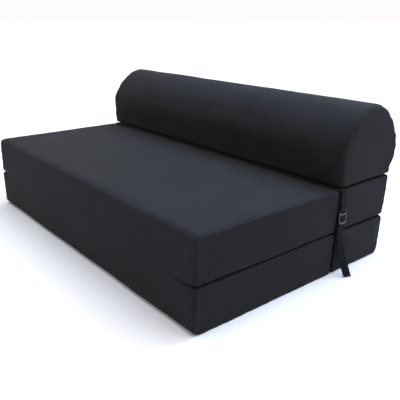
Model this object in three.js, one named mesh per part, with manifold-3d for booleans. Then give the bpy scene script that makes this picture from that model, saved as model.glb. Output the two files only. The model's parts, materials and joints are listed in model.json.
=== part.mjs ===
// Folding foam sofa bed: five covered foam blocks joined by fabric hinges, with a webbing strap and a
// ladder-lock buckle on each end that hold the back stack together.
//
// Millimetres, +Z up. X runs along the width, +Y points to the back. Inside the sofa group, y = 0 is the
// middle of the joint between the seat and the back; the group is then moved so that the origin is the
// centre of the footprint, on the floor.
import * as THREE from 'three';
import { RoundedBoxGeometry } from 'three/addons/geometries/RoundedBoxGeometry.js';
import { mergeVertices } from 'three/addons/utils/BufferGeometryUtils.js';
import Module from 'manifold-3d';

const wasm = await Module();
wasm.setup();

// ---- Driving dimensions -------------------------------------------------------------------------
const WIDTH = 1200;            // all five blocks
const SEAT_DEPTH = 547;        // one seat block, front to back
const BACK_DEPTH = 256;        // one back block, front to back
const BLOCK_HEIGHT = 133;      // seat and back blocks
const FOLD_GAP = 4;            // between neighbouring blocks, folded or flat
const BLOCK_RADIUS = 20;       // rounded edges of a covered block
const BOLSTER_HEIGHT = 228;    // top of the bolster over its base
const BOLSTER_BASE = 257;      // across its base, front to back
const BOLSTER_FRONT_BULGE = 8; // how far the front of the bolster stands past the joint line
const BOLSTER_REAR_BULGE = 20; // how far its rear stands past the back blocks
const BOLSTER_TOE_LEAD = 3;    // how far its base starts before the back blocks' front
const BOLSTER_END_RADIUS = 16; // rounded edge round each D-shaped end
const FOOT_OVER_END = 2;       // its lower edges' radius over that of its ends

const COVER_WALL = 1.5;        // woven cover with its seam allowance
const CORE_CLEARANCE = 0.5;    // cover to foam
const TOUCH = 0.3;             // gap between pieces that touch

const WEB_THICKNESS = 1.2;     // sewn fabric hinge
const WEB_REACH = 15;          // how far a hinge web reaches either side of its fold
const WEB_INSET = 10;          // from each end of the block

const WEBBING_WIDTH = 25;
const WEBBING_THICKNESS = 1.5;
const WEBBING_TURN = 1.6;      // radius of its middle where it turns through a slot
const STRAP_Y = 14.5;          // middle of the strap, behind the seat joint
const STRAP_TOP_INSET = 8;     // strap's sewn end under the top edge of the back block
const STRAP_SEAM = 26;         // length over which its two layers lie sewn together
const LOOP_OPEN = 6;           // how far above the bar the loop starts to close
const STRAP_FOOT = 22;         // height of the lower strap's sewn end
const TAIL_LEAN = 34;          // how far the free tail leans out on its way down
const TAIL_BEND = 8;           // height at which it turns onto the floor
const TAIL_TOE = 6;            // how far out it comes down there
const TAIL_ON_FLOOR = 14;      // and how far out its end lies

const BUCKLE_RAIL = 4;         // side rails, outside the webbing
const BUCKLE_BAR_RADIUS = 2.2; // round bar that the sewn loop holds
const BUCKLE_BAR_DROP = 65.5;  // bar's axis under the top of the back block
const BUCKLE_THICKNESS = 4;
const BUCKLE_SLOT = 5.6;       // each slot, measured down the buckle
const BUCKLE_RUNG = 6.4;       // the two flat bars between the slots
const BUCKLE_LIP = 7.5;        // lifting lip at the lower end
const BUCKLE_EDGE = 1.6;       // rounding of its plate
const BUCKLE_SIDE_PLAY = 0.4;  // side rails to the webbing, over the touching gap
const LIP_CLEARANCE = 4;       // free webbing under the lip before it leans out
const LOOP_CLEARANCE = 0.65;   // bar to the webbing wrapped round it

const ZIP_TAPE_WIDTH = 30;
const ZIP_TAPE_THICKNESS = 1;
const ZIP_CHAIN_WIDTH = 5;
const ZIP_CHAIN_PROUD = 0.4;   // chain above the cover's face
const ZIP_END_MARGIN = 40;     // zip's end to the edge of a seat block's end panel
const ZIP_STRAP_CLEARANCE = 57.5; // zip's end to the middle of the strap, on the back blocks
const ZIP_EDGE_CLEARANCE = 8;  // zip's end to the rounded rear edge of a back block
const ZIP_FRONT_CLEARANCE = 4; // bolster's zip to its rounded front edge
const ZIP_TAPE_SPARE = 6;      // tape past each end of the chain
const ZIP_SLOT_SPARE = 2;      // cover's slot past each end of the chain
const SLIDER_LENGTH = 11;
const SLIDER_WIDTH = 10;
const SLIDER_CORNER = 1.2;
const SLIDER_SETBACK = 1;      // closed slider to the zip's end
const SLIDER_FLANGE = 0.6;
const FLANGE_SETBACK = 1.5;    // flange to each end of the slider
const SLIDER_PLATE = 2.8;
const BRIDGE_LENGTH = 8;
const BRIDGE_HEIGHT = 3.4;
const BRIDGE_WALL = 1.2;
const BRIDGE_WIDTH = 2.4;
const PULL_LENGTH = 22;
const PULL_WIDTH = 8;
const PULL_THICKNESS = 1.2;
const PULL_CLEARANCE = 0.5;    // pull to the slider's plate
const EYE_LENGTH = 6.5;        // pull's opening that the bridge passes through
const EYE_SIDE_PLAY = 0.4;
const GRIP_START = 12;         // finger hole in the pull
const GRIP_END = 18;
const GRIP_WIDTH = 2.4;
const SINK = 1;                // how far joined solids run into each other, and cuts run past a face

// ---- Places worked out from them ----------------------------------------------------------------
const HALF_WIDTH = WIDTH / 2;
const LAYER_PITCH = BLOCK_HEIGHT + FOLD_GAP;
const SEAT_REAR = -FOLD_GAP / 2;
const SEAT_FRONT = SEAT_REAR - SEAT_DEPTH;
const BACK_FRONT = FOLD_GAP / 2;
const BACK_REAR = BACK_FRONT + BACK_DEPTH;
const STACK_TOP = LAYER_PITCH + BLOCK_HEIGHT;
const BOLSTER_FLOOR = STACK_TOP + FOLD_GAP;
const FOLD_HEIGHT = BLOCK_HEIGHT + FOLD_GAP / 2;
const BOLSTER_REAR = BACK_REAR + BOLSTER_REAR_BULGE;
const FRONT_WEB_FACE = SEAT_FRONT - TOUCH - WEB_THICKNESS;
const FOOTPRINT_MIDDLE = (FRONT_WEB_FACE + BOLSTER_REAR) / 2;

// ---- Materials ----------------------------------------------------------------------------------
const finish = (color, roughness, metalness = 0) =>
  new THREE.MeshStandardMaterial({ color, roughness, metalness });
const COVER_FABRIC = finish('#1b1c1f', 0.9);
const FOAM = finish('#e4dcc4', 0.95);
const WEBBING = finish('#17181a', 0.85);
const BUCKLE_PLASTIC = finish('#101113', 0.45);
const ZIP_TAPE = finish('#151617', 0.85);
const ZIP_METAL = finish('#3a3b3e', 0.4, 1);

// ---- Solids -------------------------------------------------------------------------------------
function solid(geometry) {
  geometry.deleteAttribute('normal');
  geometry.deleteAttribute('uv');
  const merged = mergeVertices(geometry, 1e-3);
  const mesh = new wasm.Mesh({
    numProp: 3,
    vertProperties: new Float32Array(merged.attributes.position.array),
    triVerts: new Uint32Array(merged.index.array),
  });
  mesh.merge();
  return new wasm.Manifold(mesh);
}

function geometryOf(manifold) {
  const { vertProperties, triVerts } = manifold.getMesh();
  const geometry = new THREE.BufferGeometry();
  geometry.setAttribute('position', new THREE.BufferAttribute(new Float32Array(vertProperties), 3));
  geometry.setIndex(new THREE.BufferAttribute(new Uint32Array(triVerts), 1));
  return geometry;
}

// A box between two corners.
function box([x0, y0, z0], [x1, y1, z1]) {
  const geometry = new THREE.BoxGeometry(x1 - x0, y1 - y0, z1 - z0);
  geometry.translate((x0 + x1) / 2, (y0 + y1) / 2, (z0 + z1) / 2);
  return geometry;
}

// A box between two corners with all its edges rounded.
function roundedBox([x0, y0, z0], [x1, y1, z1], radius, segments = 2) {
  const geometry = new RoundedBoxGeometry(x1 - x0, y1 - y0, z1 - z0, segments, radius);
  geometry.translate((x0 + x1) / 2, (y0 + y1) / 2, (z0 + z1) / 2);
  return geometry;
}

// A band of even thickness along a curve in the XZ plane, carried along Y for the webbing's width.
function webbing(points, middleY) {
  const curve = new THREE.CurvePath();
  points.slice(1).forEach((end, i) => curve.add(leg(points[i], end)));
  const centre = curve.curves.flatMap((c, i) => c.getPoints(c.isLineCurve ? 1 : 5).slice(i ? 1 : 0));
  const sides = [1, -1].map((side) => centre.map((p, i) => {
    const before = centre[Math.max(i - 1, 0)];
    const after = centre[Math.min(i + 1, centre.length - 1)];
    const along = after.clone().sub(before).normalize();
    const turn = i && i < centre.length - 1
      ? Math.cos(p.clone().sub(before).angleTo(after.clone().sub(p)) / 2) : 1;
    return new THREE.Vector2(-along.y, along.x)
      .multiplyScalar((side * WEBBING_THICKNESS) / 2 / turn).add(p);
  }));
  const outline = new THREE.Shape([...sides[0], ...sides[1].reverse()]);
  const geometry = new THREE.ExtrudeGeometry(outline, { depth: WEBBING_WIDTH, bevelEnabled: false });
  geometry.rotateX(Math.PI / 2); // the outline's x, y become X, Z, and its depth runs along -Y
  geometry.translate(0, middleY + WEBBING_WIDTH / 2, 0);
  return geometry;
}

// One leg of a webbing route: straight, or an arc where the end point names its centre and direction.
function leg(start, end) {
  const a = new THREE.Vector2(start.x, start.z);
  const b = new THREE.Vector2(end.x, end.z);
  if (!end.round) return new THREE.LineCurve(a, b);
  const c = new THREE.Vector2(end.round.x, end.round.z);
  const from = a.clone().sub(c);
  const to = b.clone().sub(c);
  return new THREE.EllipseCurve(c.x, c.y, from.length(), from.length(), from.angle(), to.angle(),
    end.round.clockwise, 0);
}

// The bolster's D: flat base, a nearly upright front with a slight bulge, a round top and a full rear.
function bolsterOutline() {
  const front = -BOLSTER_FRONT_BULGE;
  const rear = BOLSTER_REAR;
  const crown = (front + rear) / 2;
  const top = BOLSTER_HEIGHT;
  const toe = BACK_FRONT - BOLSTER_TOE_LEAD;
  const heel = toe + BOLSTER_BASE;
  const r = BOLSTER_END_RADIUS + FOOT_OVER_END;
  const d = new THREE.Shape();
  d.absarc(heel - r, r, r, 0, -Math.PI / 2, true);
  d.absarc(toe + r, r, r, -Math.PI / 2, -Math.PI, true);
  d.bezierCurveTo(toe - 1, top * 0.2, front, top * 0.3, front, top * 0.44);
  d.bezierCurveTo(front, top * 0.61, crown - 0.26 * (rear - front), top, crown, top);
  d.bezierCurveTo(crown + 0.25 * (rear - front), top, rear, top * 0.61, rear, top * 0.33);
  d.bezierCurveTo(rear, top * 0.22, heel, top * 0.16, heel, r);
  return d;
}

// The bolster's solid, drawn in by an inset all round.
function bolsterSolid(inset, leftInset = inset) {
  const bevel = BOLSTER_END_RADIUS - inset;
  const length = WIDTH - inset - leftInset;
  const geometry = new THREE.ExtrudeGeometry(bolsterOutline(), {
    depth: length - 2 * bevel,
    curveSegments: 5,
    bevelSize: bevel,
    bevelThickness: bevel,
    bevelOffset: -bevel - inset,
    bevelSegments: 2,
  });
  // the outline's x, y become Y, Z, and the depth runs along +X
  geometry.applyMatrix4(new THREE.Matrix4().makeBasis(
    new THREE.Vector3(0, 1, 0), new THREE.Vector3(0, 0, 1), new THREE.Vector3(1, 0, 0)));
  geometry.translate(-HALF_WIDTH + leftInset + bevel, 0, BOLSTER_FLOOR);
  return geometry;
}

// ---- Pieces -------------------------------------------------------------------------------------
const sofa = new THREE.Group();

function add(name, geometry, material, parent = sofa) {
  const mesh = new THREE.Mesh(geometry, material);
  mesh.name = name;
  parent.add(mesh);
  return mesh;
}

// The five blocks: what gives each its outer form at an inset, and where its zip runs on the left end.
const layer = (front, rear, floor) => (inset, leftInset = inset) => roundedBox(
  [-HALF_WIDTH + leftInset, front + inset, floor + inset],
  [HALF_WIDTH - inset, rear - inset, floor + BLOCK_HEIGHT - inset],
  BLOCK_RADIUS - inset);
const seatZip = { start: SEAT_FRONT + ZIP_END_MARGIN, end: SEAT_REAR - ZIP_END_MARGIN };
const backZip = { start: STRAP_Y + ZIP_STRAP_CLEARANCE, end: BACK_REAR - BLOCK_RADIUS - ZIP_EDGE_CLEARANCE };
const bolsterZip = { start: BACK_FRONT + BLOCK_RADIUS + ZIP_FRONT_CLEARANCE, end: backZip.end };
const BLOCKS = [
  { name: 'seat_bottom', form: layer(SEAT_FRONT, SEAT_REAR, 0), zip: seatZip, zipZ: BLOCK_HEIGHT / 2 },
  { name: 'seat_top', form: layer(SEAT_FRONT, SEAT_REAR, LAYER_PITCH), zip: seatZip,
    zipZ: LAYER_PITCH + BLOCK_HEIGHT / 2 },
  { name: 'back_lower', form: layer(BACK_FRONT, BACK_REAR, 0), zip: backZip, zipZ: BLOCK_HEIGHT / 2 },
  { name: 'back_middle', form: layer(BACK_FRONT, BACK_REAR, LAYER_PITCH), zip: backZip,
    zipZ: LAYER_PITCH + BLOCK_HEIGHT / 2 },
  { name: 'bolster', form: bolsterSolid, zip: bolsterZip, zipZ: BOLSTER_FLOOR + BLOCK_HEIGHT / 2 },
];

// A zip on the left end face: across it from the cover's slot, the pieces stack up as named here.
const FACE = -HALF_WIDTH;
const FLANGE_OUT = ZIP_CHAIN_WIDTH / 2 + TOUCH + SLIDER_FLANGE;
const SLOT_HALF = FLANGE_OUT + TOUCH;
const TAPE_OUT = FACE + COVER_WALL + TOUCH;
const TAPE_IN = TAPE_OUT + ZIP_TAPE_THICKNESS;
const CHAIN_OUT = FACE - ZIP_CHAIN_PROUD;
const PLATE_IN = CHAIN_OUT - TOUCH;
const PLATE_OUT = PLATE_IN - SLIDER_PLATE;
const BRIDGE_OUT = PLATE_OUT - BRIDGE_HEIGHT;
const PULL_X = PLATE_OUT - PULL_CLEARANCE - PULL_THICKNESS / 2;
const sliderY = (zip) => zip.end - SLIDER_LENGTH / 2 - SLIDER_SETBACK;

function cover({ name, form, zip, zipZ }) {
  const slot = box([FACE - SINK, zip.start - ZIP_SLOT_SPARE, zipZ - SLOT_HALF],
    [TAPE_IN, zip.end + ZIP_SLOT_SPARE, zipZ + SLOT_HALF]);
  const shell = solid(form(0)).subtract(solid(form(COVER_WALL))).subtract(solid(slot));
  add(`${name}_cover`, geometryOf(shell), COVER_FABRIC);
}

function core({ name, form }) {
  const inset = COVER_WALL + CORE_CLEARANCE;
  add(`${name}_foam`, form(inset, TAPE_IN - FACE + CORE_CLEARANCE), FOAM);
}

function zipTape({ name, zip, zipZ }) {
  const tape = box([TAPE_OUT, zip.start - ZIP_TAPE_SPARE, zipZ - ZIP_TAPE_WIDTH / 2],
    [TAPE_IN, zip.end + ZIP_TAPE_SPARE, zipZ + ZIP_TAPE_WIDTH / 2]);
  const chain = box([CHAIN_OUT, zip.start, zipZ - ZIP_CHAIN_WIDTH / 2],
    [(TAPE_OUT + TAPE_IN) / 2, zip.end, zipZ + ZIP_CHAIN_WIDTH / 2]);
  add(`${name}_zip_tape`, geometryOf(solid(tape).add(solid(chain))), ZIP_TAPE);
}

// The slider straddles the chain; its bridge holds the pull. It is drawn closed, at the zip's rear end.
function slider({ name, zip, zipZ }) {
  const y = sliderY(zip);
  const [halfLength, halfWidth] = [SLIDER_LENGTH / 2, SLIDER_WIDTH / 2];
  const plate = roundedBox([PLATE_OUT, y - halfLength, zipZ - halfWidth],
    [PLATE_IN, y + halfLength, zipZ + halfWidth], SLIDER_CORNER, 1);
  const flange = (low) => box([PLATE_OUT + SINK, y - halfLength + FLANGE_SETBACK, low],
    [TAPE_OUT - TOUCH, y + halfLength - FLANGE_SETBACK, low + SLIDER_FLANGE]);
  const reach = BRIDGE_LENGTH / 2;
  const arch = box([BRIDGE_OUT, y - reach, zipZ - BRIDGE_WIDTH / 2],
    [PLATE_OUT + SINK, y + reach, zipZ + BRIDGE_WIDTH / 2]);
  const opening = box([BRIDGE_OUT + BRIDGE_WALL, y - reach + BRIDGE_WALL, zipZ - BRIDGE_WIDTH],
    [PLATE_OUT, y + reach - BRIDGE_WALL, zipZ + BRIDGE_WIDTH]);
  const bridge = solid(arch).subtract(solid(opening));
  const flanges = solid(flange(zipZ + FLANGE_OUT - SLIDER_FLANGE)).add(solid(flange(zipZ - FLANGE_OUT)));
  add(`${name}_zip_slider`, geometryOf(solid(plate).add(flanges).add(bridge)), ZIP_METAL);
}

// The pull lies along the zip. Its end bar turns under the bridge, on an upright axis at y.
function pull({ name, zip, zipZ }) {
  const y = sliderY(zip);
  const half = PULL_THICKNESS / 2;
  const through = half + SINK;
  const eyeHalf = BRIDGE_WIDTH / 2 + EYE_SIDE_PLAY;
  const tab = roundedBox([PULL_X - half, y - half, zipZ - PULL_WIDTH / 2],
    [PULL_X + half, y + PULL_LENGTH, zipZ + PULL_WIDTH / 2], half * 0.8, 1);
  const eye = box([PULL_X - through, y + half, zipZ - eyeHalf],
    [PULL_X + through, y + EYE_LENGTH, zipZ + eyeHalf]);
  const grip = box([PULL_X - through, y + GRIP_START, zipZ - GRIP_WIDTH / 2],
    [PULL_X + through, y + GRIP_END, zipZ + GRIP_WIDTH / 2]);
  add(`${name}_zip_pull`, geometryOf(solid(tab).subtract(solid(eye)).subtract(solid(grip))), ZIP_METAL);
}

for (const block of BLOCKS) {
  cover(block);
  core(block);
  zipTape(block);
  slider(block);
  pull(block);
}

// Fabric hinges. The front and rear webs lie over the folds, the others in the joint that they close.
const WEB_X = HALF_WIDTH - BLOCK_RADIUS - WEB_INSET;
const webs = {
  front_hinge_web: [[FRONT_WEB_FACE, FRONT_WEB_FACE + WEB_THICKNESS],
    [FOLD_HEIGHT - WEB_REACH, FOLD_HEIGHT + WEB_REACH]],
  rear_hinge_web: [[BACK_REAR + TOUCH, BACK_REAR + TOUCH + WEB_THICKNESS],
    [FOLD_HEIGHT - WEB_REACH, FOLD_HEIGHT + WEB_REACH]],
  seat_back_web: [[-WEB_THICKNESS / 2, WEB_THICKNESS / 2], [BLOCK_RADIUS, BLOCK_HEIGHT - BLOCK_RADIUS]],
  bolster_hinge_web: [[BACK_FRONT + BLOCK_RADIUS, BACK_FRONT + BLOCK_RADIUS + 2 * WEB_REACH],
    [STACK_TOP + FOLD_GAP / 2 - WEB_THICKNESS / 2, STACK_TOP + FOLD_GAP / 2 + WEB_THICKNESS / 2]],
};
for (const [name, [ys, zs]] of Object.entries(webs)) {
  add(name, box([-WEB_X, ys[0], zs[0]], [WEB_X, ys[1], zs[1]]), COVER_FABRIC);
}

// ---- Straps and buckles -------------------------------------------------------------------------
// Distances outwards from the end face, then a mirrored copy for the left end.
const HALF_WEBBING = WEBBING_THICKNESS / 2;
const INNER_LAYER = HALF_WIDTH + TOUCH + HALF_WEBBING;
const LOOP_RADIUS = BUCKLE_BAR_RADIUS + LOOP_CLEARANCE + HALF_WEBBING;
const BAR = { x: INNER_LAYER + LOOP_RADIUS, z: STACK_TOP - BUCKLE_BAR_DROP };
const SECOND_LAYER = INNER_LAYER + WEBBING_THICKNESS + TOUCH;
const PLATE_BACK = BAR.x - BUCKLE_THICKNESS / 2;
const PLATE_FRONT = BAR.x + BUCKLE_THICKNESS / 2;
const SLOTS = [0, 1, 2].map((i) => {
  const top = i ? BAR.z - BUCKLE_BAR_RADIUS - i * BUCKLE_SLOT - i * BUCKLE_RUNG : BAR.z;
  return { top, low: BAR.z - BUCKLE_BAR_RADIUS - (i + 1) * BUCKLE_SLOT - i * BUCKLE_RUNG };
});
const BUCKLE_LOW = SLOTS[2].low - BUCKLE_LIP;

function strapUpper() {
  const sewnZ = STACK_TOP - STRAP_TOP_INSET;
  return webbing([
    { x: INNER_LAYER, z: sewnZ },
    { x: INNER_LAYER, z: BAR.z },
    { x: BAR.x + LOOP_RADIUS, z: BAR.z, round: { ...BAR, clockwise: false } },
    { x: BAR.x + LOOP_RADIUS, z: BAR.z + LOOP_OPEN },
    { x: SECOND_LAYER, z: sewnZ - STRAP_SEAM },
    { x: SECOND_LAYER, z: sewnZ },
  ], STRAP_Y);
}

function buckle() {
  const inner = WEBBING_WIDTH / 2 + TOUCH + BUCKLE_SIDE_PLAY;
  const halfWidth = WEBBING_WIDTH / 2 + TOUCH + BUCKLE_RAIL;
  const [left, right] = [STRAP_Y - inner, STRAP_Y + inner];
  const [back, front] = [PLATE_BACK - SINK, PLATE_FRONT + SINK];
  const plate = roundedBox([PLATE_BACK, STRAP_Y - halfWidth, BUCKLE_LOW],
    [PLATE_FRONT, STRAP_Y + halfWidth, BAR.z + BUCKLE_BAR_RADIUS], BUCKLE_EDGE, 1);
  const bar = new THREE.CylinderGeometry(BUCKLE_BAR_RADIUS, BUCKLE_BAR_RADIUS,
    2 * halfWidth - BUCKLE_RAIL, 12);
  bar.translate(BAR.x, STRAP_Y, BAR.z);
  const headroom = box([back, left, BAR.z], [front, right, BAR.z + BUCKLE_BAR_RADIUS + SINK]);
  const relief = box([back, left, BUCKLE_LOW - SINK],
    [SECOND_LAYER + HALF_WEBBING + TOUCH, right, SLOTS[2].low + SINK]);
  const slots = SLOTS.map(({ top, low }) => box([back, left, low], [front, right, top]));
  let body = solid(plate);
  for (const cut of [headroom, relief, ...slots]) body = body.subtract(solid(cut));
  return geometryOf(body.add(solid(bar)));
}

// Up behind the buckle, out through the middle slot, over the lower rung, in through the last slot, and
// down behind the lip, leaning out to the floor.
function strapLower() {
  const over = PLATE_FRONT + TOUCH + HALF_WEBBING;
  const outZ = SLOTS[1].low + BUCKLE_SLOT / 2;
  const backZ = SLOTS[2].low + BUCKLE_SLOT / 2;
  const turn = WEBBING_TURN;
  const floorZ = TOUCH + HALF_WEBBING;
  const footX = SECOND_LAYER + TAIL_LEAN;
  return webbing([
    { x: INNER_LAYER, z: STRAP_FOOT },
    { x: INNER_LAYER, z: outZ - turn },
    { x: INNER_LAYER + turn, z: outZ, round: { x: INNER_LAYER + turn, z: outZ - turn, clockwise: true } },
    { x: over - turn, z: outZ },
    { x: over, z: outZ - turn, round: { x: over - turn, z: outZ - turn, clockwise: true } },
    { x: over, z: backZ + turn },
    { x: over - turn, z: backZ, round: { x: over - turn, z: backZ + turn, clockwise: true } },
    { x: SECOND_LAYER + turn, z: backZ },
    { x: SECOND_LAYER, z: backZ - turn,
      round: { x: SECOND_LAYER + turn, z: backZ - turn, clockwise: false } },
    { x: SECOND_LAYER, z: BUCKLE_LOW - LIP_CLEARANCE },
    { x: footX, z: floorZ + TAIL_BEND },
    { x: footX + TAIL_TOE, z: floorZ },
    { x: footX + TAIL_ON_FLOOR, z: floorZ },
  ], STRAP_Y);
}

// A mirrored copy across X = 0, with its triangles turned back to face outwards.
function mirrored(geometry) {
  const copy = mergeVertices(geometry.clone());
  copy.scale(-1, 1, 1);
  const index = copy.index.array;
  for (let i = 0; i < index.length; i += 3) [index[i], index[i + 1]] = [index[i + 1], index[i]];
  return copy;
}

for (const [side, place] of [['right', (g) => g], ['left', mirrored]]) {
  add(`strap_upper_${side}`, place(strapUpper()), WEBBING);
  add(`ladder_buckle_${side}`, place(buckle()), BUCKLE_PLASTIC);
  add(`strap_lower_${side}`, place(strapLower()), WEBBING);
}

sofa.position.y = -FOOTPRINT_MIDDLE;
export default sofa;
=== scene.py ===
"""Folding foam sofa bed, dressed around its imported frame: five covered foam cushions, the fabric hinges
between them, the webbing straps with their ladder-lock buckles, and the zips on the left ends."""

import json
import math

import bpy
import numpy as np
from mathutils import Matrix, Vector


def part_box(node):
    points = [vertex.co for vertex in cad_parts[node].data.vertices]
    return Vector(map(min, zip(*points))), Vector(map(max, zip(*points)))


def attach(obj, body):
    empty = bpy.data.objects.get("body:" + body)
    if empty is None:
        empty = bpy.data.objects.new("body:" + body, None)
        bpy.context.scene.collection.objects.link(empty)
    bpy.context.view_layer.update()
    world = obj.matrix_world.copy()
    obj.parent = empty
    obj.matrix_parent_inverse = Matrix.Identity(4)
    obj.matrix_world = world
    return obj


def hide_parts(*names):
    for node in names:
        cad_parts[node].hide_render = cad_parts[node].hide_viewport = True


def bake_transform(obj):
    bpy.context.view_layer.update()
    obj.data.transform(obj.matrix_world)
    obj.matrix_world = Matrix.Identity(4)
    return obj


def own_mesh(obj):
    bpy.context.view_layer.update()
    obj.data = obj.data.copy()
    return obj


bl_info = {
    "name": "Folding foam sofa bed",
    "version": (1, 0, 0),
    "blender": (4, 5, 0),
    "location": "3D View > Sidebar > Sofa Bed",
    "description": "Covers, hinges, straps, buckles and zips of a folding foam sofa bed",
    "category": "Mesh",
}

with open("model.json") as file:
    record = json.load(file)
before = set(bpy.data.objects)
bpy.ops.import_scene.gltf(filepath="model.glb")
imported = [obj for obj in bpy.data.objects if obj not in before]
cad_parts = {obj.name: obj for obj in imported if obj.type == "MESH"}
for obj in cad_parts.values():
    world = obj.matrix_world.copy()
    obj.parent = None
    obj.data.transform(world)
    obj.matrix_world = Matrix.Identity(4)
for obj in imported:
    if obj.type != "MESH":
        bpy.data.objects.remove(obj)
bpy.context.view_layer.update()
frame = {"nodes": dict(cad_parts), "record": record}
MM = 0.001
BLOCKS = ("seat_bottom", "seat_top", "back_lower", "back_middle", "bolster")
BODY_OF = {n: body for body, nodes in frame["record"]["behaviour"]["bodies"].items() for n in nodes}


def span(node):
    """A CAD node's lowest and highest corners as arrays."""
    low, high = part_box(node)
    return np.array(low), np.array(high)


BOX = {name: span(f"{name}_cover") for name in BLOCKS}
HALF_WIDTH = BOX["seat_top"][1][0]
SEAT_FRONT = BOX["seat_top"][0][1]
SEAT_TOP = BOX["seat_top"][1][2]
JOINT_Y = (BOX["seat_top"][1][1] + BOX["back_middle"][0][1]) / 2
FOLD_Z = (BOX["seat_bottom"][1][2] + BOX["seat_top"][0][2]) / 2


# ---- What a user may change ----
def length(name, description, default):
    return bpy.props.FloatProperty(name=name, description=description, default=default, min=0,
                                   subtype="DISTANCE", unit="LENGTH")


def colour(name, description, default):
    return bpy.props.StringProperty(name=name, description=description + ", as an sRGB hex value",
                                    default=default)


class SofaBedSizes(bpy.types.PropertyGroup):
    """Sizes of the padding and the sewing, in metres."""

    cell: length("Cloth cell", "Edge of one square of the cushion grids before smoothing", 10.5 * MM)
    edge_radius: length("Edge radius", "Rounding of a cushion's edges", 8 * MM)
    slack: length("Slack", "Room between a cushion's grid and its casing before it swells", 0.8 * MM)
    pull: length("Pull", "How far the faces are drawn in towards the edges", 0.8 * MM)
    swell: length("Swell", "How far the foam may push the cover out", 1.6 * MM)
    give: length("Give", "How far the cover may sink into the foam", 1.3 * MM)
    hollows: length("Hollows", "Height of the slow dents in the covers", 1.0 * MM)
    seam_depth: length("Seam depth", "Groove along the end panels' seams", 1.0 * MM)
    pucker_length: length("Pucker length", "Spacing of the puckers along the seams", 24 * MM)
    pucker_height: length("Pucker height", "Height of the puckers along the seams", 0.8 * MM)
    thread: length("Thread spacing", "Spacing of the cover's threads", 1.8 * MM)


class SofaBedColours(bpy.types.PropertyGroup):
    """Colours of the finishes."""

    cover: colour("Cover", "Black polycotton cloth", "#18191a")
    webbing: colour("Webbing", "Black polypropylene webbing", "#131314")
    plastic: colour("Buckles", "Black acetal", "#161618")
    foam: colour("Foam", "Cream polyurethane foam", "#e6ddc3")
    metal: colour("Zip metal", "Black-lacquered zinc", "#3b3c3f")


def sizes():
    return bpy.context.scene.sofa_bed_sizes


def colours():
    return bpy.context.scene.sofa_bed_colours


# ---- Materials ----
def linear(code):
    """An sRGB hex value as a linear colour: each channel over 0.04045 is ((c + 0.055) / 1.055) ** 2.4."""
    c = np.array([int(code[i:i + 2], 16) for i in (1, 3, 5)]) / 255
    return (*np.where(c > 0.04045, ((c + 0.055) / 1.055) ** 2.4, c / 12.92), 1.0)


def node(tree, kind, settings=None, **inputs):
    """Adds a node. Its settings are properties; its inputs are sockets by name or _index, each a value or
    another node's socket to link from."""
    n = tree.nodes.new(kind)
    for key, value in (settings or {}).items():
        setattr(n, key, value)
    for key, value in inputs.items():
        socket = n.inputs[int(key[1:]) if key[0] == "_" and key[1:].isdigit() else key.replace("_", " ")]
        if isinstance(value, bpy.types.NodeSocket):
            tree.links.new(value, socket)
        else:
            socket.default_value = value
    return n


def surface(name, colour_code, roughness, sheen=0.0, ior=1.5, metallic=0.0, gloss=0.5):
    """A new material, its node tree and its Principled shader, with the even values on the sockets."""
    m = bpy.data.materials.new(name)
    m.use_nodes = True
    tree = m.node_tree
    shader = tree.nodes["Principled BSDF"]
    for socket, value in (("Base Color", linear(colour_code)), ("Roughness", roughness), ("IOR", ior),
                          ("Metallic", metallic), ("Specular IOR Level", gloss), ("Sheen Weight", sheen),
                          ("Sheen Roughness", 0.45)):
        shader.inputs[socket].default_value = value
    return m, tree, shader


def shade_between(tree, value, dark, light):
    """A colour ramp from dark to light, driven by a value."""
    ramp = node(tree, "ShaderNodeValToRGB", Fac=value)
    ramp.color_ramp.elements[0].color = dark
    ramp.color_ramp.elements[1].color = light
    return ramp.outputs["Color"]


def noise(tree, place, scale, detail, **more):
    """Fractal noise at a place, from 0 to 1."""
    return node(tree, "ShaderNodeTexNoise", Vector=place, Scale=scale, Detail=detail, **more).outputs["Fac"]


def scaled(code, factor):
    """A colour made darker or lighter in linear light."""
    r, g, b, a = linear(code)
    return (r * factor, g * factor, b * factor, a)


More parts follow.
